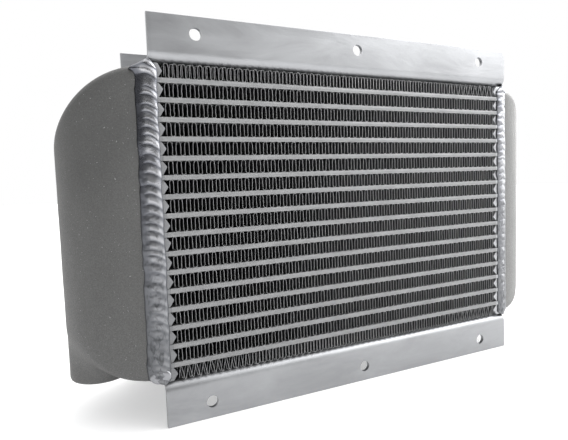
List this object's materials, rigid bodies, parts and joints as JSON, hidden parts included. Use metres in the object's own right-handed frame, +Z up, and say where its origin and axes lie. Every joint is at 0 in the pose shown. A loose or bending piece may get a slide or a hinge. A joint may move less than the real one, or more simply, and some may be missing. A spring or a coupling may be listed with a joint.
{
  "type": "hydraulic oil cooler",
  "caption": "Bar-and-plate heat exchanger that cools hydraulic oil with air blown through its folded fins, bolted up by flanged side channels.",
  "frame": {"origin": "on the plane of the lower channel's two edges, under the middle of the core", "axes": "+X along the core from one end tank to the other, +Y through the core with the flow of air, +Z up"},
  "size_m": [0.466, 0.123, 0.294],
  "materials": {
    "channel_sheet": "brushed mill finish",
    "core_bar": "brazed, matt",
    "folded_metal": "brazed, dark between the folds",
    "tank_casting": "bead-blasted",
    "weld_bead": "rippled weld"
  },
  "bodies": {
    "root": {"air_fin_01": "folded_metal", "air_fin_02": "folded_metal", "air_fin_03": "folded_metal", "air_fin_04": "folded_metal", "air_fin_05": "folded_metal", "air_fin_06": "folded_metal", "air_fin_07": "folded_metal", "air_fin_08": "folded_metal", "air_fin_09": "folded_metal", "air_fin_10": "folded_metal", "air_fin_11": "folded_metal", "air_fin_12": "folded_metal", "air_fin_13": "folded_metal", "air_fin_14": "folded_metal", "air_fin_15": "folded_metal", "air_fin_16": "folded_metal", "air_fin_17": "folded_metal", "oil_passage_01": "core_bar", "oil_passage_02": "core_bar", "oil_passage_03": "core_bar", "oil_passage_04": "core_bar", "oil_passage_05": "core_bar", "oil_passage_06": "core_bar", "oil_passage_07": "core_bar", "oil_passage_08": "core_bar", "oil_passage_09": "core_bar", "oil_passage_10": "core_bar", "oil_passage_11": "core_bar", "oil_passage_12": "core_bar", "oil_passage_13": "core_bar", "oil_passage_14": "core_bar", "oil_passage_15": "core_bar", "oil_passage_16": "core_bar", "turbulator_01": "folded_metal", "turbulator_02": "folded_metal", "turbulator_03": "folded_metal", "turbulator_04": "folded_metal", "turbulator_05": "folded_metal", "turbulator_06": "folded_metal", "turbulator_07": "folded_metal", "turbulator_08": "folded_metal", "turbulator_09": "folded_metal", "turbulator_10": "folded_metal", "turbulator_11": "folded_metal", "turbulator_12": "folded_metal", "turbulator_13": "folded_metal", "turbulator_14": "folded_metal", "turbulator_15": "folded_metal", "turbulator_16": "folded_metal", "left_end_bars": "core_bar", "right_end_bars": "core_bar", "top_channel": "channel_sheet", "bottom_channel": "channel_sheet", "left_tank": "tank_casting", "right_tank": "tank_casting", "left_tank_weld": "weld_bead", "right_tank_weld": "weld_bead"}
  },
  "joints": []
}
